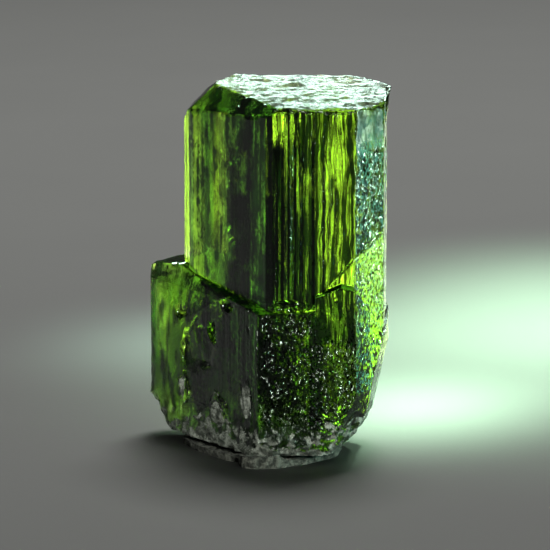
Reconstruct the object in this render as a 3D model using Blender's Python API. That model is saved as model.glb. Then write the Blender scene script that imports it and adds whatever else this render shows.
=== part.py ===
"""A green diopside crystal with a lower crystal grown to it in parallel, standing on a flake of matrix.

Run it with: blender --background --python part.py
Metres, +Z up and along the crystals' c axis, the origin on the surface it stands on, under the middle.
"""

import math

import bmesh
import bpy
from mathutils import Matrix, Vector, noise

MM = 0.001

# Driving dimensions, in millimetres. An azimuth is in degrees, from -Y (the front) towards +X. A face's
# dip is how far its normal leans up from the horizon. A distance is measured from the Z axis, outwards.
HEIGHT = 28.1
SHOULDER_HEIGHT = 14.0
CONTACT_GAP = 0.3
FLAKE_FLOOR = 0.45
FLAKE_RIM = 0.95
UNDERSIDE = FLAKE_FLOOR + CONTACT_GAP

# The prism zone of diopside: (100) at the front, (110) beside it, (010) at the side.
FRONT = -3.5
PRISM_ANGLE = 46.4
FRONT_LEFT = FRONT - PRISM_ANGLE
FRONT_RIGHT = FRONT + PRISM_ANGLE
RIGHT = FRONT + 90.0
BACK_RIGHT = FRONT + 180.0 - PRISM_ANGLE
BACK = FRONT + 180.0
BACK_LEFT = FRONT + 180.0 + PRISM_ANGLE
LEFT = FRONT + 270.0

# Distances of the tall crystal's faces.
FRONT_AT = 4.90
FRONT_LEFT_AT = 3.31
FRONT_RIGHT_AT = 8.14
RIGHT_AT = 8.58
BACK_RIGHT_AT = 8.48
BACK_AT = 6.20

# Relief and mesh size.
FINE_EDGE = 1.15
SMOOTH_EDGE = 2.6
ETCH_DEPTH = 0.07
TOP_ETCH_DEPTH = 0.16
BROKEN_DEPTH = 0.22

DIOPSIDE_GREEN = (0.045, 0.13, 0.012, 1.0)
MATRIX_BUFF = (0.30, 0.29, 0.22, 1.0)


def outward(azimuth, dip=0.0):
    """The unit normal of a face."""
    turn, lean = math.radians(azimuth), math.radians(dip)
    return Vector((math.sin(turn) * math.cos(lean), -math.cos(turn) * math.cos(lean), math.sin(lean)))


def face(azimuth, distance):
    """A prism face, parallel to the c axis: a point on it and its normal."""
    normal = outward(azimuth)
    return normal * distance, normal


def facet(azimuth, dip, through):
    """An inclined face that passes through a point."""
    return Vector(through), outward(azimuth, dip)


def cut_crystal(name, faces):
    """A convex crystal: a block cut back by each face in turn."""
    bm = bmesh.new()
    bmesh.ops.create_cube(bm, size=80.0)
    for point, normal in faces:
        everything = bm.verts[:] + bm.edges[:] + bm.faces[:]
        cut = bmesh.ops.bisect_plane(
            bm, geom=everything, dist=1e-5, plane_co=point, plane_no=normal, clear_outer=True
        )
        rim = [e for e in cut["geom_cut"] if isinstance(e, bmesh.types.BMEdge)]
        if rim:
            bmesh.ops.contextual_create(bm, geom=rim)
    bmesh.ops.recalc_face_normals(bm, faces=bm.faces)
    return as_object(bm, name)


def as_object(bm, name):
    """The bmesh, in millimetres, as an object in metres."""
    bmesh.ops.scale(bm, vec=(MM, MM, MM), verts=bm.verts)
    mesh = bpy.data.meshes.new(name)
    bm.to_mesh(mesh)
    bm.free()
    obj = bpy.data.objects.new(name, mesh)
    bpy.context.scene.collection.objects.link(obj)
    return obj


def scoop(name, centre, radii, turn=0.0, lean=0.0, dents=0.0):
    """A rounded cutter for a shell-like chip, with its radii along its own axes."""
    bm = bmesh.new()
    bmesh.ops.create_icosphere(bm, subdivisions=3, radius=1.0)
    for v in bm.verts:
        v.co *= 1.0 + dents * noise.noise(v.co * 2.3 + Vector(centre))
    pose = (
        Matrix.Translation(centre)
        @ Matrix.Rotation(math.radians(turn), 4, "Z")
        @ Matrix.Rotation(math.radians(lean), 4, "X")
        @ Matrix.Diagonal((*radii, 1.0))
    )
    bmesh.ops.transform(bm, matrix=pose, verts=bm.verts)
    return as_object(bm, name)


def boolean(target, others, operation):
    """Joins or cuts target with the others, which are then removed."""
    for other in others:
        step = target.modifiers.new(other.name, "BOOLEAN")
        step.operation = operation
        step.object = other
    graph = bpy.context.evaluated_depsgraph_get()
    mesh = bpy.data.meshes.new_from_object(target.evaluated_get(graph))
    target.modifiers.clear()
    target.data = mesh
    for other in others:
        bpy.data.objects.remove(other)


# ---------------------------------------------------------------- the tall crystal

def tall_crystal():
    """The tall prism: wide front-left face, striated front, etched front-right, flat etched top."""
    top = facet(FRONT, 85.5, (0.0, 6.2, HEIGHT))
    top_bevels = [
        facet(FRONT_LEFT - 4.0, 51.0, (-1.9, -2.9, HEIGHT - 1.65)),
        facet(LEFT, 21.0, (-6.75, 5.0, HEIGHT - 3.6)),
        facet(LEFT, 47.0, (-5.75, 5.0, HEIGHT - 1.8)),
        facet(LEFT - 20.0, 62.0, (-3.9, 5.0, HEIGHT - 0.35)),
        facet(FRONT, 40.0, (2.9, -5.08, HEIGHT - 1.05)),
        facet(FRONT_RIGHT, 44.0, (7.2, -4.5, HEIGHT - 1.0)),
        facet(BACK_RIGHT, 70.0, (7.5, 4.1, HEIGHT - 0.1)),
        facet(BACK, 55.0, (0.0, 6.15, HEIGHT - 0.1)),
    ]
    floor = (Vector((0.0, 0.0, UNDERSIDE + 1.0)), Vector((0.0, 0.0, -1.0)))
    return cut_crystal(
        "crystal",
        [
            face(FRONT, FRONT_AT),
            face(FRONT_LEFT, FRONT_LEFT_AT),
            face((FRONT + FRONT_LEFT) / 2, 4.33),
            face(FRONT_RIGHT, FRONT_RIGHT_AT),
            face(RIGHT, RIGHT_AT),
            face(BACK_RIGHT, BACK_RIGHT_AT),
            face(BACK, BACK_AT),
            face(BACK_LEFT, 7.63),
            face(LEFT, 6.86),
            face(-76.0, 5.46),
            face(-62.0, 4.33),
            top,
            *top_bevels,
            floor,
        ],
    )


def growth_rib(name, azimuth, at, proud, middle, width, foot, head):
    """A long thin individual in parallel with the tall crystal: a low ridge that tapers out at both ends."""
    out = outward(azimuth)
    along = Vector((-out.y, out.x, 0.0))
    crest = out * (at + proud) + along * middle
    slope = math.atan2(proud, 0.5 * width)
    lean, rise = along * math.sin(slope), out * math.cos(slope)
    return cut_crystal(
        name,
        [
            (crest - out * 0.25 * proud, out),
            (out * (at - 0.4 - 0.01 * foot), -out),
            (crest, rise + lean),
            (crest, rise - lean),
            (crest + along * 0.55 * width, along),
            (crest - along * 0.55 * width, -along),
            facet(azimuth, 2.2, crest + Vector((0.0, 0.0, head - 3.0))),
            facet(azimuth, -2.2, crest + Vector((0.0, 0.0, foot + 3.0))),
            facet(FRONT, 85.5, (0.0, 6.2, HEIGHT - 0.3)),
            (Vector((0.0, 0.0, 6.0)), Vector((0.0, 0.0, -1.0))),
        ],
    )


def growth_ribs():
    """The ridges that run up the faces: low in front, bolder behind."""
    return [
        growth_rib("rib_front_a", FRONT, FRONT_AT, 0.10, 0.75, 0.55, 8.0, 24.6),
        growth_rib("rib_front_b", FRONT, FRONT_AT, 0.14, 1.60, 0.70, 9.5, 29.0),
        growth_rib("rib_front_c", FRONT, FRONT_AT, 0.10, 2.45, 0.55, 8.0, 25.8),
        growth_rib("rib_front_d", FRONT, FRONT_AT, 0.16, 3.20, 0.75, 11.5, 29.5),
        growth_rib("rib_front_e", FRONT, FRONT_AT, 0.11, 4.05, 0.60, 10.5, 27.2),
        growth_rib("rib_front_f", FRONT, FRONT_AT, 0.15, 4.85, 0.70, 13.5, 28.6),
        growth_rib("rib_front_g", FRONT, FRONT_AT, 0.10, 5.65, 0.60, 15.0, 27.6),
        growth_rib("rib_back_a", BACK, BACK_AT, 0.35, -1.0, 2.2, 6.0, 27.5),
        growth_rib("rib_back_b", BACK, BACK_AT, 0.50, 2.2, 2.6, 8.0, 25.5),
        growth_rib("rib_back_c", BACK, BACK_AT, 0.30, -4.2, 2.0, 6.0, 26.2),
        growth_rib("rib_back_right", BACK_RIGHT, BACK_RIGHT_AT, 0.22, -1.1, 1.8, 7.0, 25.0),
        growth_rib("rib_right", RIGHT, RIGHT_AT, 0.10, -0.4, 1.6, 12.0, 26.0),
    ]


def top_lip():
    """The corner of the top that overhangs the right-hand face."""
    return cut_crystal(
        "top_lip",
        [
            facet(RIGHT, -8.0, (8.85, 0.5, HEIGHT - 1.0)),
            facet(RIGHT - 20.0, 38.0, (8.7, 0.0, HEIGHT - 0.75)),
            (Vector((7.0, 0.0, 0.0)), Vector((-1.0, 0.0, 0.0))),
            face(FRONT_RIGHT + 6.0, 7.75),
            face(BACK_RIGHT, BACK_RIGHT_AT + 0.12),
            facet(FRONT + 25.0, 84.0, (6.5, 6.2, HEIGHT + 0.05)),
            (Vector((0.0, 0.0, HEIGHT - 3.6)), Vector((0.0, 0.0, -1.0))),
        ],
    )


def corner_chips():
    """The break on the front-right corner, above the lower crystal: a thin skin gone below a slanting crack."""
    crack = (Vector((6.15, -5.3, 16.1)), Vector((-0.738, 0.273, 0.616)))
    chips = []
    for azimuth, at in ((FRONT, FRONT_AT - 0.08), (FRONT_RIGHT, FRONT_RIGHT_AT - 0.12)):
        out = outward(azimuth)
        floor = (Vector((0.0, 0.0, 8.0)), Vector((0.0, 0.0, -1.0)))
        chips.append(cut_crystal("corner_chip", [face(azimuth, at + 3.0), (out * at, -out), crack, floor]))
    return chips


# ---------------------------------------------------------------- the lower crystal

def foot_breaks(grown=0.0):
    """The rounded, broken foot: rough facets that lean in under the crystals, and the underside."""
    breaks = [
        (LEFT + 4.0, -32.0, (-8.8, 5.0, 2.35)),
        (FRONT_LEFT - 8.0, -40.0, (-6.55, 0.45, 1.05)),
        (FRONT_LEFT + 6.0, -28.0, (-4.1, -2.2, 1.1)),
        (FRONT - 12.0, -22.0, (-1.3, -5.0, 1.9)),
        (FRONT + 8.0, -34.0, (2.6, -5.25, 1.7)),
        (FRONT_RIGHT - 6.0, -46.0, (5.4, -4.9, 1.9)),
        (FRONT_RIGHT + 4.0, -20.0, (7.2, -4.3, 4.9)),
        (RIGHT - 4.0, -12.0, (8.0, -2.4, 7.2)),
        (RIGHT - 8.0, -29.0, (7.05, -2.2, 3.1)),
        (RIGHT - 12.0, -47.0, (6.0, -2.0, 1.6)),
        (BACK_RIGHT, -38.0, (5.6, 5.4, 3.0)),
        (BACK, -42.0, (0.0, 6.6, 2.3)),
        (BACK_LEFT, -40.0, (-7.6, 6.9, 2.2)),
    ]
    planes = [facet(azimuth, dip, through) for azimuth, dip, through in breaks]
    planes.append((Vector((0.0, 0.0, UNDERSIDE)), Vector((0.0, 0.0, -1.0))))
    return [(point + normal * grown, normal) for point, normal in planes]


def lower_crystal():
    """The short, wide crystal in parallel behind and round the foot of the tall one: the left shoulder."""
    return cut_crystal(
        "lower_crystal",
        [
            face(FRONT, 5.14),
            face(FRONT_LEFT, 4.04),
            face(-60.0, 5.04),
            face(LEFT, 9.68),
            face(BACK_LEFT, 10.8),
            face(BACK, 6.9),
            face(BACK_RIGHT, 8.8),
            face(RIGHT, 8.74),
            face(FRONT_RIGHT, 8.24),
            facet(-101.0, 80.0, (-6.2, 4.0, SHOULDER_HEIGHT)),
            facet(FRONT - 8.0, 73.0, (-3.4, -1.1, SHOULDER_HEIGHT - 1.2)),
            facet(-54.7, 9.1, (-6.1, 2.0, SHOULDER_HEIGHT + 0.1)),
            facet(-88.0, 62.0, (-9.3, 6.0, SHOULDER_HEIGHT - 0.8)),
            facet(FRONT + 2.0, 62.0, (0.9, -4.95, 12.4)),
            facet(RIGHT - 10.0, 46.0, (8.4, -1.0, 10.4)),
            facet(BACK_RIGHT + 4.0, 40.0, (6.6, 5.2, 11.0)),
        ],
    )


def front_overgrowth():
    """The skin of the lower crystal that climbs the front-right corner in a rounded tongue."""
    return cut_crystal(
        "front_overgrowth",
        [
            face(FRONT, 5.20),
            face(FRONT_RIGHT, 8.42),
            face(RIGHT, 8.80),
            (Vector((0.0, -2.0, 0.0)), Vector((0.0, 1.0, 0.0))),
            (Vector((3.3, 0.0, 0.0)), Vector((-1.0, 0.0, 0.0))),
            facet(-37.8, 52.8, (4.0, -5.41, 13.4)),
            facet(17.7, 57.6, (5.6, -5.5, 13.85)),
            facet(96.6, 32.5, (6.8, -5.0, 12.8)),
            facet(99.3, 25.5, (7.75, -4.15, 10.75)),
            (Vector((0.0, 0.0, 1.5)), Vector((0.0, 0.0, -1.0))),
        ],
    )


def crust_scabs():
    """Thin scabs of matrix crust that cling to the lower faces."""
    return [
        scoop("scab_left", (-6.7, 1.7, 4.5), (0.65, 0.16, 1.15), turn=-56.0, dents=0.5),
        scoop("scab_middle", (-4.0, -1.5, 3.25), (1.15, 0.17, 1.3), turn=FRONT_LEFT, lean=4.0, dents=0.6),
        scoop("scab_edge", (-1.75, -4.1, 4.9), (0.65, 0.16, 1.75), turn=FRONT_LEFT, dents=0.5),
        scoop("scab_ledge", (1.1, -5.0, 12.5), (1.0, 0.25, 0.32), turn=FRONT, dents=0.3),
        scoop("scab_right", (4.3, -5.45, 3.4), (1.0, 0.14, 0.8), turn=FRONT, dents=0.6),
    ]


def breakages():
    """Where the joined crystals broke: the hollow and pits in the lower face, nicks, chipped edges."""
    return [
        scoop("face_hollow", (-6.04, 0.17, 7.9), (2.3, 0.75, 3.1), turn=FRONT_LEFT, dents=0.3),
        scoop("hollow_pit", (-4.75, -1.05, 9.35), (0.5, 0.8, 0.95), turn=FRONT_LEFT, dents=0.5),
        scoop("square_pit", (-3.35, -2.35, 11.8), (0.55, 0.5, 0.5), turn=FRONT_LEFT, lean=24.0, dents=0.3),
        scoop("shoulder_nick", (-7.0, 1.9, 10.4), (0.85, 0.4, 0.32), turn=FRONT_LEFT, lean=-20.0, dents=0.3),
        scoop("top_edge_chip", (-2.5, -3.2, 27.3), (1.2, 0.8, 0.55), turn=FRONT_LEFT, lean=20.0, dents=0.2),
        scoop("foot_notch", (-2.7, -5.0, 0.8), (0.6, 1.6, 0.9), turn=12.0, dents=0.3),
        scoop("back_edge_chip", (9.5, 5.9, 18.5), (2.2, 2.6, 4.4), turn=40.0, dents=0.15),
        scoop("back_foot_chip", (5.0, 9.4, 3.4), (4.4, 3.4, 3.2), turn=15.0, lean=12.0, dents=0.12),
        scoop("back_left_chip", (-9.9, 10.2, 12.6), (3.6, 4.0, 3.2), turn=40.0, lean=-15.0, dents=0.12),
    ]


# ---------------------------------------------------------------- relief

def band(value, low, high, soft):
    """1 between low and high, falling to 0 over soft on either side."""
    rise = min(max((value - low) / soft + 0.5, 0.0), 1.0)
    fall = min(max((high - value) / soft + 0.5, 0.0), 1.0)
    return rise * fall


def etched(p):
    """0 to 1: how strongly acid or growth has etched the surface here."""
    right_faces = band(p.x, 6.3, 20.0, 0.8)
    lower_front = band(p.z, -5.0, 11.8, 1.5) * band(p.x, -0.9, 20.0, 0.8)
    return max(right_faces, lower_front)


def broken(p):
    """0 to 1: the broken, rounded foot."""
    return band(p.z, -5.0, 3.4 + 0.6 * noise.noise(p * 0.35), 1.6)


def relief(p, normal):
    """How far the surface stands out at p, in millimetres."""
    seam = Vector((17.0, -9.0, 4.0))
    if normal.z > 0.8 and p.z > HEIGHT - 1.6:
        steps = noise.noise(Vector((p.x * 0.45 + p.y * 0.2, p.y * 0.9, 3.0)))
        pits = min(0.0, noise.noise(Vector((p.x * 0.8, p.y * 1.5, 7.0))) + 0.25)
        return TOP_ETCH_DEPTH * (0.8 * steps + 1.6 * pits)
    etching = ETCH_DEPTH * etched(p) * noise.noise(p * 1.3 + seam)
    lumps = BROKEN_DEPTH * broken(p) * noise.turbulence_vector(p * 0.55 + seam, 2, True)[0]
    foot = 0.0 if normal.z < -0.95 else 1.0
    return foot * (etching - lumps)


def flip_flat_edges(bm):
    """Turns the shared edge of two triangles in one plane where that makes them less thin."""
    for edge in bm.edges[:]:
        if not edge.is_valid or len(edge.link_faces) != 2:
            continue
        if edge.calc_face_angle(math.pi) > math.radians(0.3):
            continue
        a, b = (next(v for v in f.verts if v not in edge.verts) for f in edge.link_faces)
        c, d = edge.verts
        spread = sum((c.co - v.co).angle(d.co - v.co, 0.0) for v in (a, b))
        if spread > math.pi + 0.01 and not any(b in e.verts for e in a.link_edges):
            bmesh.utils.edge_rotate(edge)


def refine(bm, longest_at):
    """Halves edges until none is longer than longest_at gives for its middle, keeping the triangles even."""
    bmesh.ops.triangulate(bm, faces=bm.faces)
    for _ in range(9):
        flip_flat_edges(bm)
        flip_flat_edges(bm)
        long_edges = [
            e for e in bm.edges if e.calc_length() > longest_at((e.verts[0].co + e.verts[1].co) / 2)
        ]
        if not long_edges:
            break
        bmesh.ops.subdivide_edges(bm, edges=long_edges, cuts=1)
        bmesh.ops.triangulate(bm, faces=[f for f in bm.faces if len(f.verts) > 3])


def clean(bm, within):
    """Merges points closer than this and drops faces with no width."""
    bmesh.ops.triangulate(bm, faces=bm.faces)
    bmesh.ops.dissolve_degenerate(bm, edges=bm.edges, dist=within)


def weather(obj, longest_at, relief_at):
    """Gives a joined crystal its relief: refines it, then moves its points along their normals."""
    bm = bmesh.new()
    bm.from_mesh(obj.data)
    bmesh.ops.scale(bm, vec=(1 / MM, 1 / MM, 1 / MM), verts=bm.verts)
    clean(bm, 0.03)
    refine(bm, longest_at)
    bm.normal_update()
    moved = [(v, v.co + v.normal * relief_at(v.co, v.normal)) for v in bm.verts]
    for v, place in moved:
        v.co = place
    bmesh.ops.scale(bm, vec=(MM, MM, MM), verts=bm.verts)
    bm.to_mesh(obj.data)
    bm.free()


# ---------------------------------------------------------------- the matrix flake

def matrix_flake():
    """The pale flake of host rock left under the crystals: a rough plate, hollowed to their foot."""
    outline = [
        (-6.7, 3.4), (-6.8, 2.2), (-6.1, 0.6), (-5.4, -0.5), (-4.5, -1.8), (-3.5, -2.9), (-2.9, -3.5),
        (-2.55, -3.6), (-2.5, -4.4), (-2.2, -5.2), (-1.4, -5.6), (-0.5, -5.6), (0.5, -5.4), (1.6, -4.7),
        (2.6, -4.2), (3.6, -3.3), (4.5, -2.5), (5.2, -1.4), (5.4, 0.6), (4.9, 2.6), (3.6, 4.2),
        (1.4, 4.9), (-1.6, 5.1), (-4.2, 5.2), (-5.9, 4.7),
    ]
    bm = bmesh.new()
    bottom = bm.faces.new([bm.verts.new((x, y, 0.0)) for x, y in outline])
    raised = bmesh.ops.extrude_face_region(bm, geom=[bottom], use_keep_orig=True)["geom"]
    rim = [v for v in raised if isinstance(v, bmesh.types.BMVert)]
    bmesh.ops.translate(bm, vec=(0.0, 0.0, FLAKE_RIM), verts=rim)
    bmesh.ops.recalc_face_normals(bm, faces=bm.faces)
    refine(bm, lambda middle: 1.3)
    bm.normal_update()
    for v in bm.verts:
        rough = noise.noise(Vector((v.co.x * 0.9, v.co.y * 0.9, v.co.z * 2.0)))
        if v.co.z > 0.5 * FLAKE_RIM:
            v.co.z += 0.16 * rough - 0.4 * band(v.co.x, -20.0, -2.6, 0.8)
        if v.normal.xy.length > 0.3:
            v.co.xy += v.normal.xy.normalized() * (0.16 * rough - 0.05)
    flake = as_object(bm, "matrix_flake")
    boolean(flake, [cut_crystal("foot", foot_breaks(CONTACT_GAP) + [face(FRONT, 5.5)])], "DIFFERENCE")
    return flake


# ---------------------------------------------------------------- materials and assembly

def material(name, colour, roughness, transmission=0.0, ior=1.5):
    """A Principled material."""
    made = bpy.data.materials.new(name)
    made.use_nodes = True
    shader = made.node_tree.nodes["Principled BSDF"]
    shader.inputs["Base Color"].default_value = colour
    shader.inputs["Roughness"].default_value = roughness
    shader.inputs["Transmission Weight"].default_value = transmission
    shader.inputs["IOR"].default_value = ior
    return made


def stand_on_origin(objects):
    """Moves the objects together so that the origin is at the middle of the base of their box."""
    corners = [v.co for obj in objects for v in obj.data.vertices]
    low = Vector([min(c[i] for c in corners) for i in range(3)])
    high = Vector([max(c[i] for c in corners) for i in range(3)])
    shift = Matrix.Translation((-(low.x + high.x) / 2, -(low.y + high.y) / 2, -low.z))
    for obj in objects:
        obj.data.transform(shift)


def main():
    for obj in list(bpy.data.objects):
        bpy.data.objects.remove(obj)
    crystal = tall_crystal()
    boolean(crystal, growth_ribs() + [top_lip()], "UNION")
    boolean(crystal, corner_chips(), "DIFFERENCE")
    boolean(crystal, [lower_crystal(), front_overgrowth()], "UNION")
    boolean(crystal, [cut_crystal("foot_envelope", foot_breaks())], "INTERSECT")
    boolean(crystal, crust_scabs(), "UNION")
    boolean(crystal, breakages(), "DIFFERENCE")

    def longest_at(middle):
        rough = middle.z > HEIGHT - 1.5 or broken(middle) > 0.3 or etched(middle) > 0.5
        return FINE_EDGE if rough else SMOOTH_EDGE

    weather(crystal, longest_at, relief)
    flake = matrix_flake()
    stand_on_origin([crystal, flake])

    crystal.data.materials.clear()
    crystal.data.materials.append(material("diopside", DIOPSIDE_GREEN, 0.12, 0.9, 1.68))
    flake.data.materials.clear()
    flake.data.materials.append(material("matrix_rock", MATRIX_BUFF, 0.85))

    specimen = bpy.data.collections.new("diopside_specimen")
    bpy.context.scene.collection.children.link(specimen)
    for obj in (crystal, flake):
        bpy.context.scene.collection.objects.unlink(obj)
        specimen.objects.link(obj)
        print(obj.name, len(obj.data.polygons), "triangles")


main()
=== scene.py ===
import math
import random

import bmesh
import bpy
import numpy as np
from mathutils import Matrix, Vector, noise


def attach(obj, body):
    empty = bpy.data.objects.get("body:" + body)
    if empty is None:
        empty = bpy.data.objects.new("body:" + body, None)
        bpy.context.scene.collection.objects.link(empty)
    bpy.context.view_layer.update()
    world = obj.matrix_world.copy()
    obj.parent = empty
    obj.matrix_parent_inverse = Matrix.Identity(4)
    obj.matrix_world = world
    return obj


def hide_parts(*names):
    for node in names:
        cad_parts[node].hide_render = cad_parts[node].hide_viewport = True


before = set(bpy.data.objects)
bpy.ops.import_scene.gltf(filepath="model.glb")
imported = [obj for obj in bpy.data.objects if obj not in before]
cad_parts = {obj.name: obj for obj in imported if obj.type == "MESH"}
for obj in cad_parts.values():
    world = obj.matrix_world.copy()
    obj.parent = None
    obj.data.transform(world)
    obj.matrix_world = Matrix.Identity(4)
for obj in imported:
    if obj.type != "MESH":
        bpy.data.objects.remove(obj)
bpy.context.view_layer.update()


# ---------------------------------------------------------------- the table it stands on
# A sheet of pale matt board, far wider than the specimen, so that it runs out of sight behind it.
# Nothing is fixed to it: the specimen stands on its own foot.

MM = 0.001
BOARD_SIDE = 3.0
BOARD_GREY = (0.34, 0.345, 0.335, 1.0)
BOARD_DIMMER = tuple(0.94 * c for c in BOARD_GREY[:3]) + (1.0,)


class Wire:
    """A shader socket that takes part in sums: each operator adds the Math node it needs."""

    def __init__(self, nodes, socket):
        self.nodes = nodes
        self.socket = socket

    def maths(self, operation, *others):
        return self.nodes.add("ShaderNodeMath", {"operation": operation}, [self, *others])

    def __add__(self, other):
        return self.maths("ADD", other)

    def __sub__(self, other):
        return self.maths("SUBTRACT", other)

    def __rsub__(self, other):
        return self.nodes.add("ShaderNodeMath", {"operation": "SUBTRACT"}, [other, self])

    def __mul__(self, other):
        return self.maths("MULTIPLY", other)

    def __pow__(self, other):
        return self.maths("POWER", other)

    __radd__ = __add__
    __rmul__ = __mul__

    def clamp(self):
        return self.nodes.add("ShaderNodeClamp", {}, [self])

    def between(self, low, high):
        """0 below low, 1 above high, smooth between them."""
        return self.nodes.add(
            "ShaderNodeMapRange", {"interpolation_type": "SMOOTHSTEP"}, {0: self, 1: low, 2: high}
        )


class Finish:
    """A material being wired: nodes are added by type, settings and inputs."""

    def __init__(self, name):
        self.material = bpy.data.materials.new(name)
        self.material.use_nodes = True
        self.tree = self.material.node_tree
        self.tree.nodes.clear()
        self.output = self.tree.nodes.new("ShaderNodeOutputMaterial")

    def add(self, kind, settings=None, inputs=(), out=0):
        node = self.tree.nodes.new(kind)
        for key, value in (settings or {}).items():
            setattr(node, key, value)
        pairs = inputs.items() if isinstance(inputs, dict) else enumerate(inputs)
        for key, value in pairs:
            if isinstance(value, Wire):
                self.tree.links.new(value.socket, node.inputs[key])
            else:
                node.inputs[key].default_value = value
        return Wire(self, node.outputs[out])

    def mix(self, share, first, second):
        """A colour between two, by a share."""
        return self.add(
            "ShaderNodeMix", {"data_type": "RGBA"}, {0: share, 6: first, 7: second}, out=2
        )

    def vector(self, operation, inputs):
        return self.add("ShaderNodeVectorMath", {"operation": operation}, inputs)

    def millimetres(self, stretch=(1.0, 1.0, 1.0)):
        """Where a point of the surface is, in millimetres, squeezed along each axis."""
        place = self.add("ShaderNodeTexCoord", {}, out="Object")
        scale = tuple(s / MM for s in stretch)
        return self.vector("MULTIPLY", [place, scale])

    def grain(self, where, scale, detail=3.0, roughness=0.5):
        """Noise between 0 and 1, in turns a millimetre."""
        return self.add(
            "ShaderNodeTexNoise",
            {},
            {"Vector": where, "Scale": scale, "Detail": detail, "Roughness": roughness},
        )

    def painted(self, name):
        """A value held at the mesh's points."""
        return self.add("ShaderNodeAttribute", {"attribute_name": name}, out="Fac")

    def bump(self, height):
        """The normal of a height that is given in millimetres."""
        return self.add("ShaderNodeBump", {}, {"Height": height, "Distance": MM})

    def surface(self, **inputs):
        """The Principled shader. Input names take _ for a space."""
        named = {key.replace("_", " "): value for key, value in inputs.items()}
        return self.add("ShaderNodeBsdfPrincipled", {}, named)

    def shows(self, shader, volume=None):
        self.tree.links.new(shader.socket, self.output.inputs["Surface"])
        if volume:
            self.tree.links.new(volume.socket, self.output.inputs["Volume"])
        return self.material


def mesh_object(name, bm):
    """A bmesh, in millimetres, as an object in metres."""
    bmesh.ops.scale(bm, vec=(MM, MM, MM), verts=bm.verts)
    mesh = bpy.data.meshes.new(name)
    bm.to_mesh(mesh)
    bm.free()
    made = bpy.data.objects.new(name, mesh)
    bpy.context.scene.collection.objects.link(made)
    return made


def board_finish():
    board = Finish("pale_board")
    mottle = board.grain(board.millimetres(), 0.05, detail=4.0)
    tooth = board.grain(board.millimetres(), 2.0, detail=2.0)
    colour = board.mix(mottle, BOARD_GREY, BOARD_DIMMER)
    shader = board.surface(
        Base_Color=colour, Roughness=0.9, Specular_IOR_Level=0.1, Normal=board.bump(tooth * 0.01)
    )
    return board.shows(shader)


bm = bmesh.new()
bmesh.ops.create_grid(bm, x_segments=8, y_segments=8, size=BOARD_SIDE / 2 / MM)
board = mesh_object("board", bm)
board.data.materials.append(board_finish())


# ---------------------------------------------------------------- the camera
# A long lens a little above the table, straight in front of the specimen and aimed at half its height.
# The picture is 42 mm wide where the specimen stands.

AIM = Vector((0.41, -0.88, 13.7))
LENS_REACH = 300.0
LENS_DROP = 12.0
FIELD = 7.93
SENSOR = 36.0
NEAR_CLIP, FAR_CLIP = 0.01, 10.0


def towards(azimuth, elevation):
    """The unit vector to a place round the specimen: azimuth from -Y towards +X."""
    turn, rise = math.radians(azimuth), math.radians(elevation)
    return Vector((math.sin(turn) * math.cos(rise), -math.cos(turn) * math.cos(rise), math.sin(rise)))


def look_from(thing, azimuth, elevation, reach, aim=AIM):
    """Places a camera or lamp so that it faces the aim."""
    away = towards(azimuth, elevation)
    thing.location = (Vector(aim) + away * reach) * MM
    thing.rotation_mode = "QUATERNION"
    thing.rotation_quaternion = away.to_track_quat("Z", "Y")


camera = bpy.data.objects.new("camera", bpy.data.cameras.new("camera"))
bpy.context.scene.collection.objects.link(camera)
camera.data.sensor_width = SENSOR
camera.data.lens = SENSOR / 2 / math.tan(math.radians(FIELD / 2))
camera.data.clip_start, camera.data.clip_end = NEAR_CLIP, FAR_CLIP
look_from(camera, 0.0, LENS_DROP, LENS_REACH)
bpy.context.scene.camera = camera


# ---------------------------------------------------------------- the lamps
# A clear stone shows its colour by the light that comes through it, so a box of lit slits stands behind
# it, and lamps at its right and behind it light its etched faces. Softer ones light the front and the
# table. A lamp that names a group is flagged off everything else. Sizes in millimetres, power in watts.

WHITE = (1.0, 1.0, 0.98)
WARM = (1.0, 0.90, 0.78)
AMBER = (0.92, 0.70, 0.40)
LIME = (0.80, 1.0, 0.45)
LEAF = (0.60, 1.0, 0.06)
MINT = (0.66, 1.0, 0.80)
POOL = (0.62, 1.0, 0.68)
ICE = (0.72, 1.0, 0.88)
FROST = (0.75, 1.0, 0.92)
SEA = (0.28, 1.0, 0.84)
ROOM_GREY = (0.03, 0.03, 0.03, 1.0)

on_specimen = bpy.data.collections.new("on_specimen")
on_board = bpy.data.collections.new("on_board")
on_board.objects.link(board)

SLITS_AT = 25.0
WINDOWS_FROM = (-5.8, -2.9, 0.2, 2.8, 5.2, 8.0)
WINDOW_WIDTH = 0.75
# Each slit: its span in x, its span in z, how bright it is, and its colour.
SLITS = {
    "slit_window_%d" % i: ((left, left + WINDOW_WIDTH), (10.0, 24.0), 12.5, AMBER)
    for i, left in enumerate(WINDOWS_FROM)
}
SLITS.update({
    "slit_low": ((3.0, 8.0), (7.5, 10.0), 10.0, AMBER),
    "slit_olive": ((0.5, 7.0), (1.0, 7.5), 1.0, AMBER),
    "slit_tongue": ((-16.0, -3.0), (2.0, 10.0), 4.8, WARM),
    "slit_rim": ((12.4, 14.2), (-1.0, 22.0), 3.2, LIME),
    "slit_edge": ((20.0, 25.0), (3.0, 22.0), 3.8, MINT),
    "slit_side": ((14.2, 18.8), (7.0, 21.0), 0.4, WARM),
    "slit_block": ((14.0, 19.0), (-1.0, 5.0), 1.5, LEAF),
    "slit_left": ((-20.5, -17.0), (6.0, 22.0), 8.0, LEAF),
})
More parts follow.
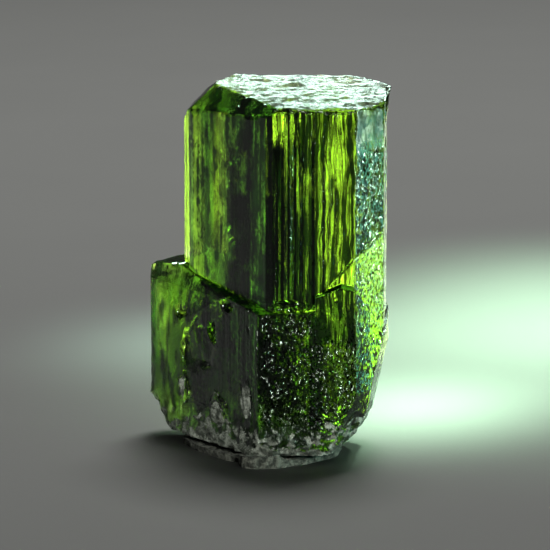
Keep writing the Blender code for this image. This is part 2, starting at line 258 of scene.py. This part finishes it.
# Each lamp: its azimuth, elevation and reach, its two sides, its power, its colour, where it aims, how
# wide its beam spreads, and the group that it lights.
LAMPS = {
    "lamp_spark": ((72.0, 6.0, 60.0), (8.0, 8.0), 0.0026, FROST, AIM, 60.0, on_specimen),
    "lamp_right": ((86.0, -6.5, 60.0), (30.0, 13.0), 0.0085, SEA, AIM, 180.0, on_specimen),
    "lamp_top": ((180.0, 21.0, 200.0), (120.0, 55.0), 0.028, ICE, AIM, 50.0, on_specimen),
    "lamp_pool": ((150.0, 48.0, 150.0), (36.0, 36.0), 0.0165, POOL, (26.0, 40.0, 0.0), 16.0, on_board),
    "lamp_cast": ((150.0, 60.0, 150.0), (14.0, 14.0), 0.0024, POOL, (11.0, 12.0, 0.0), 8.0, on_board),
    "lamp_through": ((170.0, 60.0, 150.0), (16.0, 16.0), 0.0006, MINT, (-7.0, 36.0, 0.0), 9.0, on_board),
    "lamp_front": ((18.0, 22.0, 420.0), (110.0, 110.0), 0.015, WHITE, AIM, 18.0, on_specimen),
    "lamp_glint": ((20.0, 34.0, 420.0), (60.0, 60.0), 0.012, WHITE, AIM, 18.0, on_specimen),
    "lamp_above": ((140.0, 79.0, 560.0), (220.0, 220.0), 0.46, WHITE, (0.0, 110.0, 0.0), 90.0, None),
}


def lamp(name, place, size, power, colour, aim, spread, lights):
    """A soft rectangular lamp, out of the camera's sight."""
    light = bpy.data.lights.new(name, "AREA")
    light.shape = "RECTANGLE"
    light.size, light.size_y = size[0] * MM, size[1] * MM
    light.energy = power
    light.color = colour
    light.spread = math.radians(spread)
    made = bpy.data.objects.new(name, light)
    bpy.context.scene.collection.objects.link(made)
    made.visible_camera = False
    made.light_linking.receiver_collection = lights
    look_from(made, *place, aim)


for name, (across, up, radiance, colour) in SLITS.items():
    (left, right), (low, high) = across, up
    power = radiance * math.pi * (right - left) * (high - low) * MM * MM
    middle = ((left + right) / 2, 0.0, (low + high) / 2)
    lamp(name, (180.0, 0.0, SLITS_AT), (right - left, high - low), power, colour, middle, 180.0,
         on_specimen)
for name, row in LAMPS.items():
    lamp(name, *row)

room = bpy.data.worlds.new("room")
room.use_nodes = True
room.node_tree.nodes["Background"].inputs["Color"].default_value = ROOM_GREY
scene = bpy.context.scene
scene.world = room
scene.view_settings.view_transform = "Standard"
scene.cycles.use_denoising = True
scene.cycles.max_bounces = 24
scene.cycles.transmission_bounces = 20
scene.cycles.glossy_bounces = 8
scene.cycles.diffuse_bounces = 3
scene.cycles.volume_bounces = 0
scene.cycles.sample_clamp_indirect = 12.0
scene.cycles.caustics_refractive = True
scene.cycles.caustics_reflective = True


# ---------------------------------------------------------------- the diopside
# One clear green crystal, grown with a shorter one in parallel round its foot, which is a rough break
# with thin scabs of crust. Its faces keep the marks of growth and of etching. Places are in millimetres
# from its own axis, and the faces are named by their azimuths.

AXIS_AT = Vector((0.124, -0.879, 0.0))
FRONT = -3.5
FRONT_LEFT = -49.9
LOW_LEFT = -60.0
LEFT_EDGE = -76.0
FRONT_RIGHT = 42.9
RIGHT = 86.5
BACK_RIGHT = 130.1
BACK = 176.5
BACK_LEFT = 222.9
LEFT = 266.5
TOP_Z = 28.1
SEAM_Z = 12.6
SHARP = 24.0
WELD = 0.0005
FLAT = 0.3
PASSES = 10
COARSER = 1.0


def edge_limit(p):
    """How long a triangle's side may be at a place: shortest where a face is etched or lined."""
    if p.z > TOP_Z - 1.2:  # the top
        limit = 0.26
    elif p.y < -2.0 and p.x > 6.3:  # the front-right face
        limit = 0.23
    elif p.y < -3.4 and p.x > -0.9:  # the front face
        limit = 0.19 if p.z > SEAM_Z else 0.22
    elif p.y < 1.0 and p.x < 6.3:  # the front-left face
        limit = 0.33
    else:
        limit = 0.5
    return limit * COARSER


def flip_flat_edges(bm):
    """Turns the shared edge of two triangles in one plane where that makes them less thin."""
    for edge in bm.edges[:]:
        if not edge.is_valid or len(edge.link_faces) != 2 or not edge.smooth:
            continue
        if edge.calc_face_angle(math.pi) > math.radians(FLAT):
            continue
        a, b = (next(v for v in f.verts if v not in edge.verts) for f in edge.link_faces)
        c, d = edge.verts
        spread = sum((c.co - v.co).angle(d.co - v.co, 0.0) for v in (a, b))
        if spread > math.pi + 0.01 and not any(b in e.verts for e in a.link_edges):
            bmesh.utils.edge_rotate(edge)


def drop_folds(bm):
    """Deletes pairs of faces that lie back to back on the same three corners."""
    pairs = {}
    for f in {f for e in bm.edges if len(e.link_faces) > 2 for f in e.link_faces}:
        pairs.setdefault(frozenset(f.verts), []).append(f)
    folds = [f for pair in pairs.values() if len(pair) == 2 for f in pair]
    bmesh.ops.delete(bm, geom=folds, context="FACES")


def refine(bm):
    """Halves edges until none is longer than edge_limit gives for its middle."""
    for _ in range(PASSES):
        flip_flat_edges(bm)
        long_edges = [
            e for e in bm.edges if e.calc_length() > edge_limit((e.verts[0].co + e.verts[1].co) / 2)
        ]
        if not long_edges:
            break
        bmesh.ops.subdivide_edges(bm, edges=long_edges, cuts=1)
        bmesh.ops.triangulate(bm, faces=[f for f in bm.faces if len(f.verts) > 3])
        drop_folds(bm)


def node_mesh(node):
    """A copy of a CAD node's mesh, in millimetres from the crystal's axis. Its hard edges are marked."""
    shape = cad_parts[node].data.copy()
    shape.attributes.remove(shape.attributes["custom_normal"])
    bm = bmesh.new()
    bm.from_mesh(shape)
    bmesh.ops.scale(bm, vec=(1 / MM, 1 / MM, 1 / MM), verts=bm.verts)
    bmesh.ops.translate(bm, vec=-AXIS_AT, verts=bm.verts)
    bmesh.ops.remove_doubles(bm, verts=bm.verts, dist=WELD)
    bmesh.ops.triangulate(bm, faces=bm.faces)
    for e in bm.edges:
        e.smooth = e.calc_face_angle(0.0) < math.radians(SHARP)
    for f in bm.faces:
        f.smooth = True
    return bm


def field(places, scale, seed, octaves=1):
    """Smooth noise at each place, about -1 to 1. scale is in turns a millimetre along each axis."""
    made = np.zeros(len(places))
    for i, p in enumerate(places * np.asarray(scale) + seed):
        made[i] = noise.noise(p) if octaves == 1 else noise.fractal(p, 1.0, 2.0, octaves)
    return made


def above(value, low, soft):
    """1 above low and 0 below it, with a slope that is soft wide."""
    return np.clip((value - low) / soft + 0.5, 0, 1)


def below(value, high, soft):
    """1 below high and 0 above it, with a slope that is soft wide."""
    return np.clip((high - value) / soft + 0.5, 0, 1)


def band(value, low, high, soft):
    return above(value, low, soft) * below(value, high, soft)


def facing(normals, azimuth, within=14.0):
    """1 where the surface faces an azimuth, 0 where it is more than twice within away."""
    near = normals @ np.array(towards(azimuth, 0.0))
    low, high = math.cos(math.radians(2 * within)), math.cos(math.radians(within))
    return np.clip((near - low) / (high - low), 0, 1)


bm = node_mesh("crystal")
refine(bm)
bm.normal_update()
places = np.array([v.co for v in bm.verts])
normals = np.array([v.normal for v in bm.verts])
sharp = np.array([any(not e.smooth for e in v.link_edges) for v in bm.verts], float)
x, y, z = places.T

# The faces and the parts of them, each from 0 to 1 over the points.
on_top = np.clip((normals[:, 2] - 0.75) / 0.15, 0, 1) * above(z, TOP_Z - 1.6, 0.2)
foot = below(z + 0.5 * field(places, (0.4, 0.4, 0.4), 3.0), 3.2, 1.6)
upper = above(z, SEAM_Z, 0.8)
on_front = facing(normals, FRONT)
on_front_left = facing(normals, FRONT_LEFT)
on_front_right = facing(normals, FRONT_RIGHT)
rough_back = facing(normals, BACK, within=25.0)
behind = np.maximum.reduce([facing(normals, a) for a in (BACK, BACK_LEFT, BACK_RIGHT, LEFT, RIGHT)])
left_edge = facing(normals, LEFT_EDGE, within=8.0)
far_left = below(x, -6.7, 1.0) * (1 - upper)
low_left = facing(normals, LOW_LEFT, within=12.0) * (1 - upper)
low_front = on_front * (1 - upper) * above(x, -0.9, 0.8)
clean_low = above(x, 2.9, 0.6) * above(z, 9.6, 1.0)
hollows = np.clip(2.5 * facing(normals, FRONT_LEFT, within=40.0) * (1 - on_front_left), 0, 1)
hollows *= 1 - upper
hollows *= band(x, -7.6, -1.2, 0.6) * band(z, 3.4, 12.8, 0.4)
step = band(x, 2.9, 3.8, 0.1) * below(y, -4.5, 0.1) * band(z, 3.0, 11.6, 0.2)
etch = np.clip(
    0.5 * np.maximum(on_front_right, facing(normals, RIGHT)) * np.interp(z, [22.8, 24.2], [1.0, 0.3])
    + low_front * (1 - 0.7 * clean_low), 0, 1)
etch *= 1 - on_top

# The slanting break above the tongue, between an upper and a lower edge that both curve.
CHIP_TOP = ((4.0, 13.4), (4.75, 14.3), (5.5, 15.3), (6.3, 16.1), (7.7, 16.8), (8.5, 17.9))
CHIP_FOOT = ((4.0, 13.45), (5.0, 13.9), (6.2, 13.6), (6.8, 12.9), (7.2, 11.9), (7.8, 10.7), (8.4, 9.1))
chip = band(z, np.interp(x, *zip(*CHIP_FOOT)), np.interp(x, *zip(*CHIP_TOP)), 0.15)
chip = chip * above(x, 4.0, 0.2) * below(y, -1.5, 0.5) * np.maximum(on_front, on_front_right)

# Fine relief: growth lines, etch pits, the terraces and wells of the top, the lumps of the foot and the
# chips along the edges. The underside stays flat, as the crystal stands on it.
GROWTH_DEPTH = 0.05
SWELL_DEPTH = 0.02
BACK_GROWTH_DEPTH = 0.07
PIT_DEPTH = 0.03
FRONT_PIT_DEPTH = 0.05
TERRACE_DEPTH = 0.09
WELL_DEPTH = 0.30
LUMP_DEPTH = 0.16
CHIP_DEPTH = 0.28
sideways = x * math.cos(math.radians(FRONT)) + y * math.sin(math.radians(FRONT))
sideways = sideways + 0.35 * field(places, (0.5, 0.5, 0.16), 11.0)
along = np.stack([sideways, 0.15 * y, 0.07 * z], axis=1)
round_prism = np.stack([x, y, 0.05 * z], axis=1)
growth = field(along, (1.7, 1.0, 1.0), 5.0) + 0.6 * field(along, (3.6, 1.0, 1.6), 21.0)
back_growth = field(round_prism, (0.9, 0.9, 1.0), 31.0) + 0.5 * field(round_prism, (2.1, 2.1, 1.5), 37.0)
pits = field(places, (2.1, 2.1, 1.6), 51.0)
terraces = field(places, (0.8, 1.7, 0.5), 61.0) + 0.5 * field(places, (2.4, 3.6, 1.0), 67.0)
lumps = field(places, (1.4, 1.4, 1.4), 71.0, octaves=3)
chips = np.clip(field(places, (1.3, 1.3, 1.3), 81.0), 0, 1) * sharp * (1 - step)
chips *= np.interp(x, [-8.2, -7.4], [0.2, 1.0])
out = (
    GROWTH_DEPTH * growth * on_front * upper * (1 - foot)
    + SWELL_DEPTH * field(round_prism, (1.2, 1.2, 1.0), 91.0) * on_front_left * upper
    + BACK_GROWTH_DEPTH * back_growth * behind * (1 - foot)
    + (PIT_DEPTH + FRONT_PIT_DEPTH * on_front) * pits * etch * (1 - foot)
    + TERRACE_DEPTH * terraces * on_top
    - WELL_DEPTH * np.clip(field(places, (2.3, 3.2, 1.0), 131.0) - 0.25, 0, 1) * on_top
    + LUMP_DEPTH * lumps * foot
    - CHIP_DEPTH * chips
)
out[(normals[:, 2] < -0.95) & (z < 2.0)] = 0.0

# The crust: scabs low on the front, patches on the back, the foot's edge and the specks above it. Each
# scab has a middle and a reach. The crust on the back ends at a rim in x that changes with the height,
# has more holes towards -X, and its lower part reaches less high towards +X.
CRUST_THICKNESS = 0.04
CRUST_LUMP_DEPTH = 0.16
SCABS = (
    ((-6.75, 1.74, 4.49), (0.55, 0.55, 1.15)),
    ((-4.03, -1.49, 3.24), (0.95, 0.95, 1.3)),
    ((-1.89, -4.03, 4.89), (0.8, 0.8, 1.75)),
)
CRUST_RIM = ((15.5, 2.4), (17.5, 2.6), (18.0, 2.6), (18.8, 1.2), (23.2, 1.2), (24.0, -0.3), (27.0, -3.0))
CRUST_HOLES = ((-4.0, 0.05), (-2.0, 0.25), (-1.0, 0.42), (0.0, 0.65))
CRUST_TOP = ((2.0, 10.8), (3.0, 8.0), (4.0, 4.5))
ragged = 1.2 * field(places, (0.35, 0.35, 0.35), 101.0) + 0.6 * field(places, (1.6, 1.6, 1.6), 103.0)
grooves = 0.9 * field(np.stack([x, y, 0.12 * z], axis=1), (1.0, 1.0, 1.0), 109.0)
spots = field(places, (2.2, 2.2, 2.2), 111.0, octaves=2)
holes = field(np.stack([x, y, 0.25 * z], axis=1), (2.4, 2.4, 2.0), 113.0)
holes += 0.6 * field(places, (3.4, 3.4, 2.2), 117.0)
drape = z + 1.4 * field(round_prism, (1.3, 1.3, 1.0), 119.0)
drape = drape + 0.8 * field(round_prism, (3.5, 3.5, 1.0), 121.0)
scabs = np.zeros(len(places))
for at, reach in SCABS:
    away = np.linalg.norm((places - np.array(at)) / np.array(reach), axis=1)
    scabs = np.maximum(scabs, 1.25 - away)
bare = np.clip(0.5 + 5.0 * (holes - np.interp(x, *zip(*CRUST_HOLES))), 0, 1)
rim_x = np.interp(drape, *zip(*CRUST_RIM))
column = band(x + 0.3 * grooves + 0.3 * ragged, 1.5, 3.0, 0.2)
back_crust = band(x + 0.5 * grooves + 0.3 * ragged, -0.2, rim_x, 0.2) * (1 - bare)
back_crust = rough_back * np.maximum(back_crust, column)
low_crust = np.maximum(rough_back * above(x + ragged, -4.6, 0.2), facing(normals, BACK_RIGHT))
low_crust = low_crust * below(z + 0.5 * ragged, np.interp(x, *zip(*CRUST_TOP)), 0.2)
left_crust = rough_back * below(x, -4.6, 0.3) * (1 - upper) * np.clip(0.5 + 5.0 * (holes + 0.05), 0, 1)
under = below(z + 0.6 * ragged, 1.3, 0.2)
speckled = below(z + 1.2 * ragged, 3.0, 2.0) * np.clip(0.45 + 4.0 * spots, 0, 1)
crust = np.maximum.reduce([
    scabs + 0.25 * field(places, (2.2, 2.2, 2.2), 107.0),
    back_crust, low_crust, left_crust, under, speckled,
])
crusted = np.clip(3 * crust - 1, 0, 1) * (1 - on_front) * (1 - facing(normals, LOW_LEFT, within=25.0))
out += crusted * (1 - foot) * (CRUST_THICKNESS + CRUST_LUMP_DEPTH * lumps)
for v, n, h in zip(bm.verts, normals, out):
    v.co += Vector(n) * h

# Painted shade under each point, from 0, which leaves the light as it is, to 1, which stops it: the dark
# stripe and foot of the front face, veils between bright patches, and lighter windows at the flaws,
# which are painted highlights. Each cluster of flaws has a middle, a normal and how far it reaches in x
# and in z.
FLAWS = (
    ((-1.95, 0.07, 23.03), (-0.72, 0.10, 0.68), (0.45, 0.75)),
    ((-2.36, 0.54, 21.18), (-0.70, 0.20, 0.66), (0.60, 0.80)),
    ((-2.28, 0.49, 17.29), (-0.75, 0.10, 0.62), (0.55, 1.20)),
    ((-0.30, -1.87, 18.93), (-0.72, 0.12, 0.70), (0.50, 1.10)),
    ((-3.28, 1.68, 16.71), (-0.68, 0.22, 0.70), (0.40, 0.60)),
    ((-4.79, 3.93, 22.63), (-0.74, 0.05, 0.66), (0.40, 0.60)),
)
patches = field(np.stack([x, y, 0.4 * z], axis=1), (1.1, 1.1, 1.1), 141.0)
patches += 0.6 * field(np.stack([x, y, 0.3 * z], axis=1), (2.9, 2.9, 2.9), 143.0)
swayed = x + 0.3 * grooves
shade = on_front * upper * np.maximum.reduce([
    0.9 * band(swayed, -2.0, 1.3, 0.5) * below(z + 0.5 * ragged, 24.4, 1.0),
    0.95 * band(swayed, 0.8, 3.4, 0.7) * below(z + ragged, 20.2, 1.5),
    np.clip(0.25 - 1.2 * patches, 0, 0.8) * above(x, 0.8, 1.5) * (1 - chip),
    0.95 * band(swayed, -2.0, 4.2, 1.0) * below(z + ragged, 16.5, 1.5),
    0.35 * below(z + ragged, 21.0, 2.0) * (1 - chip),
]) * np.clip(1.15 - 1.3 * np.clip(patches - 0.25, 0, 1), 0, 1)
shade += on_front_left * upper * np.clip(0.38 - 0.6 * patches, 0, 0.85)
shade += on_front_left * (0.75 - 0.3 * upper) * band(x + 0.2 * grooves, -2.6, 0.5, 0.9)
# Painted shade on the walls of the hollows and pits in the lower front-left face.
shade += 0.85 * hollows
shade += on_front_right * upper * (1 - chip) * np.clip(0.8 - 0.4 * patches, 0, 0.95)
shade += low_left * np.clip(0.02 - 2.2 * patches, 0, 0.9)
# Painted shade in mottled veils on the back faces, seen through the stone.
back_shade = np.clip(np.interp(x, [-3.5, -1.5], [0.3, 0.45]) - 0.9 * patches, 0, 0.9)
shade += rough_back * below(x, 0.4, 0.6) * back_shade
olive = band(x, 3.0, 5.9, 1.0) * band(z + 0.5 * ragged, 9.3, 12.9, 1.0)
olive = np.maximum(olive, above(x, 4.6, 0.8) * band(z + 0.5 * ragged, 2.2, 4.8, 0.8))
shade += low_front * np.clip(0.88 - 0.3 * olive - 0.5 * np.clip(patches, 0, 1), 0, 0.95)
shade += on_front_right * (1 - upper) * (1 - chip) * band(x, 0, 7.2, 0.6) * 0.45
# Painted shade along the seam of the step on the lower front face, and darker on the sloping facet at
# the top.
shade += 0.95 * step
sloping = band(normals[:, 2], 0.25, 0.8, 0.1) * above(z, 24.0, 0.5) * below(y, 3.0, 1.0)
shade += sloping * (0.55 - 0.3 * patches)
# Painted highlights: round each cluster of flaws the shade is taken away, so the face is lit there.
for (fx, _, fz), _, _ in FLAWS:
    off_x = (x - fx + 0.4 * grooves) / 0.28
    off_z = (z - fz + 0.3 * ragged) / 0.8
    shade -= 0.8 * on_front_left * np.exp(-off_x ** 2 - off_z ** 2)
shade = np.clip(shade, 0, 1)

# What else the finish needs at each point: how matt the skin is, how far it is stained yellow-green,
# where its crust keeps its pale tones rather than the painted shade of the crust behind, how strongly it
# is lined and darkened along the lines by painted shade, and where a grey veil lies on it: a reflecting
# coat, mottled by painted shade.
frosted = rough_back * below(x, -2.4, 1.0)
matt = (
    0.04 + 0.05 * etch + 0.32 * on_top + 0.35 * foot + 0.08 * behind + 0.16 * on_front_left
    + 0.1 * left_edge + 0.08 * low_left + 0.3 * frosted + 0.14 * chip * on_front_right
    + on_front_right * upper * (1 - chip) * np.interp(z, [23.5, 25.0], [0.05, 0.26])
)
stain = np.clip(0.8 * left_edge + 0.8 * low_left + rough_back * below(x, -0.6, 0.8), 0, 1)
# Where the crust keeps its pale tones; elsewhere, on the faces behind, it takes the darker painted
# shade.
pale = np.clip(1.3 * scabs + 0.6 * (1 - behind) * below(z, 5.0, 1.0), 0, 1)
striae = on_front * upper * np.interp(x, [0.5, 2.0, 3.5], [0.5, 0.8, 1.0])
striae = striae * np.interp(z, [20.0, 24.0], [1.0, 0.85]) + 0.8 * low_front * clean_low
veiled = np.maximum(on_front_left, hollows) * (1 - far_left)
LAYERS = {
    "striae": striae, "etch": etch, "top": on_top, "foot": foot, "behind": behind, "matt": matt,
    "stain": stain, "pale": pale, "streaky": low_left, "shade": shade, "veiled": veiled,
}
for name, values in LAYERS.items():
    layer = bm.verts.layers.float.new(name)
    for v, value in zip(bm.verts, values):
        v[layer] = value
bm.verts.index_update()
for f in bm.faces:
    f.material_index = int(np.mean([crust[v.index] for v in f.verts]) > 0.5)

# The flaws: clusters of small tilted gaps inside the stone, which flash where they catch the light.
GAP = 0.02
GAPS_EACH = 6
draw = random.Random(4)


def either_way():
    """Three draws between -1 and 1."""
    return Vector((draw.uniform(-1, 1), draw.uniform(-1, 1), draw.uniform(-1, 1)))


def flaw(middle, normal, reach, seed):
    """A small round gap inside the stone, tilted to a normal. Its skin faces the gap."""
    turn = Vector(normal).to_track_quat("Z", "Y").to_matrix().to_4x4()
    pose = Matrix.Translation(middle) @ turn @ Matrix.Diagonal((reach[0], reach[1], 1.0, 1.0))
    disc = bmesh.ops.create_circle(bm, cap_ends=True, segments=9, radius=1.0, matrix=pose)["verts"]
    for v in disc:
        v.co += (v.co - Vector(middle)) * 0.5 * noise.noise(v.co * 1.7 + Vector((seed, 0.0, 0.0)))
    skin = disc[0].link_faces[0]
    made = bmesh.ops.solidify(bm, geom=[skin], thickness=GAP)["geom"]
    faces = {g for g in made if isinstance(g, bmesh.types.BMFace)} | {skin}
    bmesh.ops.recalc_face_normals(bm, faces=list(faces))
    bmesh.ops.reverse_faces(bm, faces=list(faces))
    for f in faces:
        f.smooth = False


for middle, normal, reach in FLAWS:
    for _ in range(GAPS_EACH):
        apart = either_way()
        place = Vector(middle) + Vector((reach[0] * apart.x, 0.5 * apart.y, reach[1] * apart.z))
        lean = Vector(normal) + 0.12 * either_way()
        flaw(place, lean, (draw.uniform(0.08, 0.2), draw.uniform(0.12, 0.35)), draw.uniform(0, 9))
bmesh.ops.translate(bm, vec=AXIS_AT, verts=bm.verts)
crystal = mesh_object("diopside", bm)

# The skin lets light through clear or stained, or darkened by painted shade along the growth lines, in
# mottled veils and where the shade layer says. A volume inside it gives the body its green, by how much
# of each colour a metre takes away.
CLEAR = (0.97, 1.0, 0.95, 1.0)
STAINED = (0.34, 0.62, 0.05, 1.0)
NEAR_BLACK = (0.0005, 0.0015, 0.0003, 1.0)
REFLECTED = (0.5, 0.6, 0.5, 1.0)
DIOPSIDE_IOR = 1.68
VEIL_ROUGHNESS = 0.2
BODY_GREEN = (0.53, 0.78, 0.03, 1.0)
BODY_DENSITY = 340.0


def diopside_finish():
    stone = Finish("diopside")
    striae, etch, top = (stone.painted(n) for n in ("striae", "etch", "top"))
    foot, behind = stone.painted("foot"), stone.painted("behind")
    sway = stone.grain(stone.millimetres((0.5, 0.5, 0.16)), 1.0, detail=1.0) * 0.8
    sway = sway + stone.grain(stone.millimetres((1.3, 1.3, 0.7)), 1.0, detail=1.0) * 0.35
    streaks = stone.millimetres((1.0, 0.2, 0.05))
    streaks = stone.vector("ADD", [streaks, stone.add("ShaderNodeCombineXYZ", {}, [sway, 0.0, 0.0])])
    lines = stone.grain(streaks, 4.6, detail=2.0, roughness=0.6)
    round_lines = stone.grain(stone.millimetres((1.0, 1.0, 0.05)), 2.2, detail=2.0, roughness=0.6)
    speckle = stone.grain(stone.millimetres((1.0, 1.0, 0.8)), 3.6, detail=2.0, roughness=0.6)
    cells = stone.millimetres((1.0, 1.0, 0.55))
    facets = stone.add("ShaderNodeTexVoronoi", {}, {"Vector": cells, "Scale": 10.0}, out="Color")
    height = (
        lines * striae * 0.07
        + (round_lines * 0.20 + speckle * 0.12) * stone.painted("streaky")
        + (round_lines * 0.03 + speckle * 0.02) * stone.painted("veiled")
        + round_lines * behind * 0.10
        + speckle * (etch * 0.08 + top * 0.14 + foot * 0.16)
    )
    lean = stone.vector("SUBTRACT", [facets, (0.5, 0.5, 0.5)])
    lean = stone.vector("SCALE", {0: lean, 3: etch * 1.0 + top * 0.3})
    normal = stone.vector("NORMALIZE", [stone.vector("ADD", [stone.bump(height), lean])])
    tint = stone.mix(stone.painted("stain"), CLEAR, STAINED)
    # Painted shade: the growth lines, the mottled veils and the painted shade layer darken the colour
    # that the light comes through, towards NEAR_BLACK.
    line_shade = (1 - lines.between(0.42, 0.60)) * striae * 0.95
    veil_shade = (round_lines * 0.6 + speckle * 0.4).between(0.42, 0.60)
    veil_shade = veil_shade * stone.painted("veiled") * 0.5
    dark = (line_shade + veil_shade + stone.painted("shade")).clamp()
    tint = stone.mix((1 - dark) ** 2, NEAR_BLACK, tint)
    shader = stone.surface(
        Base_Color=tint, Roughness=stone.painted("matt"), Normal=normal, IOR=DIOPSIDE_IOR,
        Transmission_Weight=1.0, Specular_Tint=REFLECTED, Coat_Weight=stone.painted("veiled"),
        Coat_Roughness=VEIL_ROUGHNESS,
    )
    body = {"Color": BODY_GREEN, "Density": BODY_DENSITY}
    return stone.shows(shader, stone.add("ShaderNodeVolumeAbsorption", {}, body))


# The crust's dark tones, on the faces behind, are a painted shade that keeps the stone dark seen through
# it; its pale tones are on the scabs and the foot in front.
SHADED_CRUST = ((0.015, 0.025, 0.015, 1.0), (0.13, 0.16, 0.11, 1.0))
PALE_CRUST = ((0.08, 0.10, 0.07, 1.0), (0.66, 0.72, 0.60, 1.0))


def crust_finish():
    rock = Finish("crust")
    where = rock.millimetres()
    grains = rock.grain(where, 1.8, detail=5.0, roughness=0.75)
    lumps = rock.grain(where, 0.7, detail=3.0)
    tone = (grains * 0.7 + lumps * 0.3).between(0.40, 0.62)
    # Painted shade: the dark tones go where the crust faces back.
    dark = rock.mix(tone, *SHADED_CRUST)
    pale = rock.mix(tone, *PALE_CRUST)
    colour = rock.mix(rock.painted("pale"), dark, pale)
    return rock.shows(rock.surface(Base_Color=colour, Roughness=0.75, Normal=rock.bump(grains * 0.4)))


crystal.data.materials.append(diopside_finish())
crystal.data.materials.append(crust_finish())
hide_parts("crystal")
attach(crystal, "root")
on_specimen.objects.link(crystal)


# ---------------------------------------------------------------- the matrix flake
# A thin flake of pale host rock that came away with the crystal and still clings under its foot. The
# specimen stands on it, so its underside stays flat.

FLAKE_DARK = (0.02, 0.024, 0.016, 1.0)
FLAKE_PALE = (0.12, 0.13, 0.10, 1.0)
FLAKE_RELIEF = 0.10


def matrix_finish():
    rock = Finish("matrix_rock")
    grains = rock.grain(rock.millimetres(), 2.2, detail=5.0, roughness=0.65)
    colour = rock.mix(grains.between(0.4, 0.62), FLAKE_DARK, FLAKE_PALE)
    return rock.shows(rock.surface(Base_Color=colour, Roughness=0.85, Normal=rock.bump(grains * 0.4)))


bm = node_mesh("matrix_flake")
refine(bm)
bm.normal_update()
places = np.array([v.co for v in bm.verts])
relief = FLAKE_RELIEF * field(places, (0.9, 0.9, 2.0), 151.0, octaves=3)
for v, h in zip(bm.verts, relief):
    if v.co.z > 0.15 and v.normal.z > -0.9:
        v.co += v.normal * h
bmesh.ops.translate(bm, vec=AXIS_AT, verts=bm.verts)
flake = mesh_object("flake", bm)
flake.data.materials.append(matrix_finish())
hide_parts("matrix_flake")
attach(flake, "root")
on_specimen.objects.link(flake)
